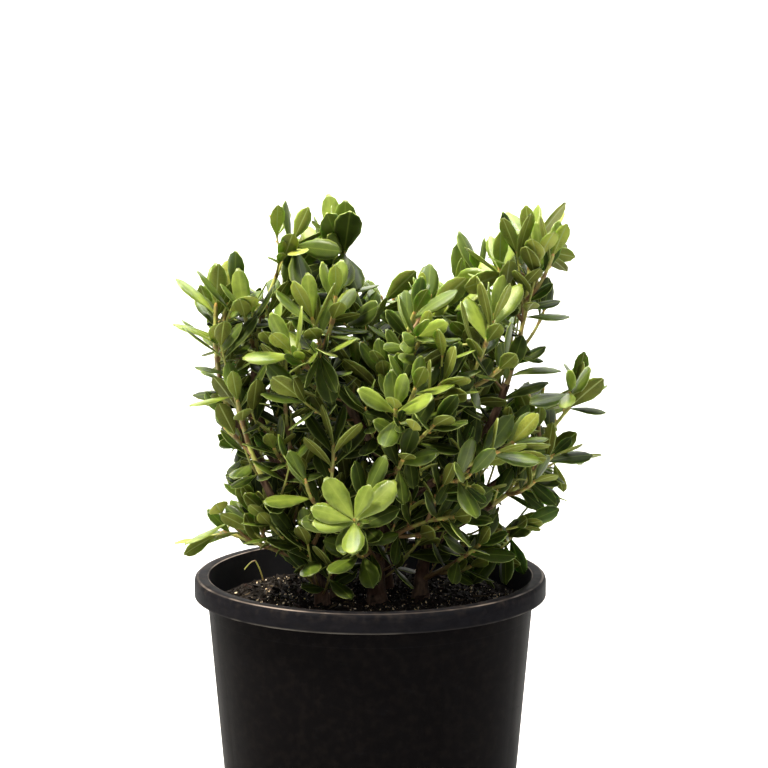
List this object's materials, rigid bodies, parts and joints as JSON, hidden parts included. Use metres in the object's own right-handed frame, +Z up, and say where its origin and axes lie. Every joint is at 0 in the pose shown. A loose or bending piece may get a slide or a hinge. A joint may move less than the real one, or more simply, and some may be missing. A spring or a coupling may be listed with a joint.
{
  "type": "potted boxwood shrub",
  "caption": "Young, loose, unclipped boxwood shrub: woody stems rise from the potting mix of a round black nursery pot and carry leafy shoots of opposite, glossy oval leaves.",
  "frame": {"origin": "centre of the pot's flat underside", "axes": "+Z up along the pot's axis, -Y towards the front of the plant, +X to the viewer's right"},
  "size_m": [0.1728, 0.1509, 0.2837],
  "materials": {
    "pot_plastic": "black moulded polypropylene, satin, faintly ribbed by the mould, with light scuffs",
    "potting_mix": "moist dark composted bark with coarse chips, a few pale perlite grains",
    "box_bark": "thin tan-grey bark, peeling in fine fibres on the old stems, olive on young ones",
    "box_foliage": "glossy mid-green upper faces, paler matt yellow-green undersides and margins"
  },
  "bodies": {
    "root": {"pot": "pot_plastic", "potting_mix": "potting_mix", "trunk": "box_bark", "left_stem": "box_bark", "left_front_stem": "box_bark", "right_stem": "box_bark", "back_stem": "box_bark", "tall_left_bough": "box_bark", "tall_left_foliage": "box_foliage", "top_mid_bough": "box_bark", "top_mid_foliage": "box_foliage", "top_right_bough": "box_bark", "top_right_foliage": "box_foliage", "left_outer_bough": "box_bark", "left_outer_foliage": "box_foliage", "far_right_bough": "box_bark", "far_right_foliage": "box_foliage", "left_low_foliage": "box_foliage", "left_inner_bough": "box_bark", "left_inner_foliage": "box_foliage", "left_mid_bough": "box_bark", "left_mid_foliage": "box_foliage", "left_lower_foliage": "box_foliage", "centre_right_bough": "box_bark", "centre_right_foliage": "box_foliage", "centre_left_bough": "box_bark", "centre_left_foliage": "box_foliage", "centre_bough": "box_bark", "centre_foliage": "box_foliage", "right_upper_back_bough": "box_bark", "right_upper_back_foliage": "box_foliage", "right_mid_bough": "box_bark", "right_mid_foliage": "box_foliage", "right_back_bough": "box_bark", "right_back_foliage": "box_foliage", "right_lower_bough": "box_bark", "right_lower_foliage": "box_foliage", "right_front_bough": "box_bark", "right_front_foliage": "box_foliage", "right_droop_bough": "box_bark", "right_droop_foliage": "box_foliage", "right_low_foliage": "box_foliage", "front_low_foliage": "box_foliage", "centre_low_right_foliage": "box_foliage", "base_right_foliage": "box_foliage", "centre_front_bough": "box_bark", "centre_front_foliage": "box_foliage", "left_mid_small_foliage": "box_foliage", "mid_right_front_foliage": "box_foliage", "mid_left_front_foliage": "box_foliage", "back_left_bough": "box_bark", "back_left_foliage": "box_foliage", "back_mid_bough": "box_bark", "back_mid_foliage": "box_foliage", "back_right_bough": "box_bark", "back_right_foliage": "box_foliage", "back_low_left_bough": "box_bark", "back_low_left_foliage": "box_foliage", "back_low_right_bough": "box_bark", "back_low_right_foliage": "box_foliage"}
  },
  "joints": []
}
